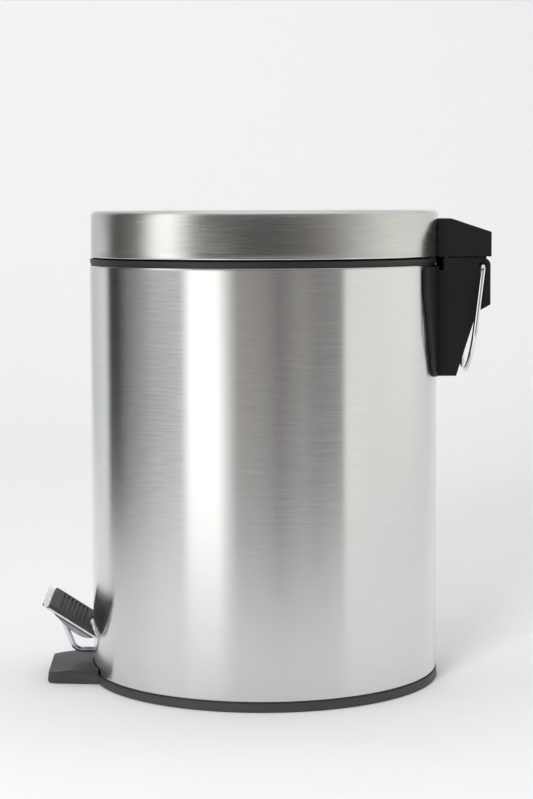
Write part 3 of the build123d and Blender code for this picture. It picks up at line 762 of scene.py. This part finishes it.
# ------------------------------------------------------------------ light
world = bpy.data.worlds.new("studio")
bpy.context.scene.world = world
world.use_nodes = True
nt = world.node_tree
for nd in list(nt.nodes):
    nt.nodes.remove(nd)
wout = node(nt, "ShaderNodeOutputWorld")
bg = node(nt, "ShaderNodeBackground")
nt.links.new(bg.outputs[0], wout.inputs[0])
tc = node(nt, "ShaderNodeTexCoord")
sep = node(nt, "ShaderNodeSeparateXYZ")
nt.links.new(tc.outputs["Generated"], sep.inputs[0])
at = node(nt, "ShaderNodeMath", operation="ARCTAN2")
nt.links.new(sep.outputs["Y"], at.inputs[0])
nt.links.new(sep.outputs["X"], at.inputs[1])
az = remap(nt, at.outputs[0], -math.pi, math.pi, 0.0, 1.0)


def bands(stops):
    r = node(nt, "ShaderNodeValToRGB")
    r.color_ramp.interpolation = "LINEAR"
    el = r.color_ramp.elements
    while len(el) > 1:
        el.remove(el[-1])
    for k, (deg, v, tint) in enumerate(stops):
        pos = (deg + 180) / 360
        e = el[0] if k == 0 else el.new(pos)
        e.position = pos
        v = v / 2.0
        e.color = (v * tint[0], v * tint[1], v * tint[2], 1)
    nt.links.new(az, r.inputs["Fac"])
    return r.outputs["Color"]


W = (1.0, 1.0, 1.0)
K = (1.0, 0.965, 0.94)
C = (0.97, 1.0, 1.035)
Y = (1.0, 1.0, 0.965)
P = (1.04, 0.97, 0.97)
low = bands([
    (-180, 0.72, C), (-150, 0.64, C), (-131, 0.86, C), (-126, 0.62, C), (-122, 0.02, W),
    (-112, 0.04, W), (-100, 0.25, W), (-90, 0.34, W), (-66, 0.38, W), (-57, 0.50, W),
    (-50, 1.85, W), (-32, 1.85, W), (-25, 0.95, W), (-19, 0.42, K), (-8, 0.40, K),
    (2, 0.33, K), (8, 0.22, P), (12, 0.27, K), (23, 0.36, K), (33, 0.26, K), (50, 0.27, K),
    (53.5, 1.04, Y), (110, 1.04, Y), (122, 0.90, W), (150, 0.66, C), (180, 0.72, C),
])
high = bands([
    (-180, 0.72, C), (-145, 0.62, C), (-130, 0.40, W), (-120, 0.06, K), (-108, 0.12, K),
    (-94, 0.20, K), (-86, 0.78, W), (-80, 1.45, W), (-66, 1.55, W), (-57, 0.9, W),
    (-50, 0.28, W), (-42, 0.11, K), (-28, 0.075, K), (-10, 0.055, K), (8, 0.065, K),
    (24, 0.13, K), (42, 0.27, K), (60, 0.47, W), (80, 0.72, Y), (95, 0.82, Y),
    (125, 0.78, W), (150, 0.62, W), (180, 0.72, C),
])
up_mix = remap(nt, sep.outputs["Z"], 0.07, 0.15, 0.0, 1.0)
mx = node(nt, "ShaderNodeMix", data_type="RGBA")
nt.links.new(up_mix, mx.inputs["Factor"])
nt.links.new(low, mx.inputs[6])
nt.links.new(high, mx.inputs[7])
ceil = remap(nt, sep.outputs["Z"], 0.50, 0.66, 0.0, 1.0)
mx2 = node(nt, "ShaderNodeMix", data_type="RGBA")
nt.links.new(ceil, mx2.inputs["Factor"])
nt.links.new(mx.outputs[2], mx2.inputs[6])
mx2.inputs[7].default_value = (0.38, 0.38, 0.385, 1)
nt.links.new(mx2.outputs[2], bg.inputs["Color"])
bg.inputs["Strength"].default_value = 2.0


def area(name, loc, target, size, size_y, power, shape="RECTANGLE"):
    l = bpy.data.lights.new(name, "AREA")
    l.shape = shape
    l.size = size
    l.size_y = size_y
    l.energy = power
    o = bpy.data.objects.new(name, l)
    bpy.context.scene.collection.objects.link(o)
    o.location = loc
    o.rotation_euler = (Vector(target) - Vector(loc)).to_track_quat("-Z", "Y").to_euler()
    return o


top = area("overhead", (0.1, -0.2, 2.6), (0, 0, 0), 2.6, 2.6, 3)
key = area("key", (2.04, -0.80, 0.80), (0, 0, 0.12), 0.6, 0.6, 41)
key.visible_glossy = False
wall = area("wall_light", (-0.6, 0.0, 2.4), (-2.1, 0, 0.9), 2.4, 0.8, 12)
wall.visible_glossy = False

vs = bpy.context.scene.view_settings
vs.view_transform = "Standard"
vs.look = "None"
vs.exposure = 0.0
vs.gamma = 1.0
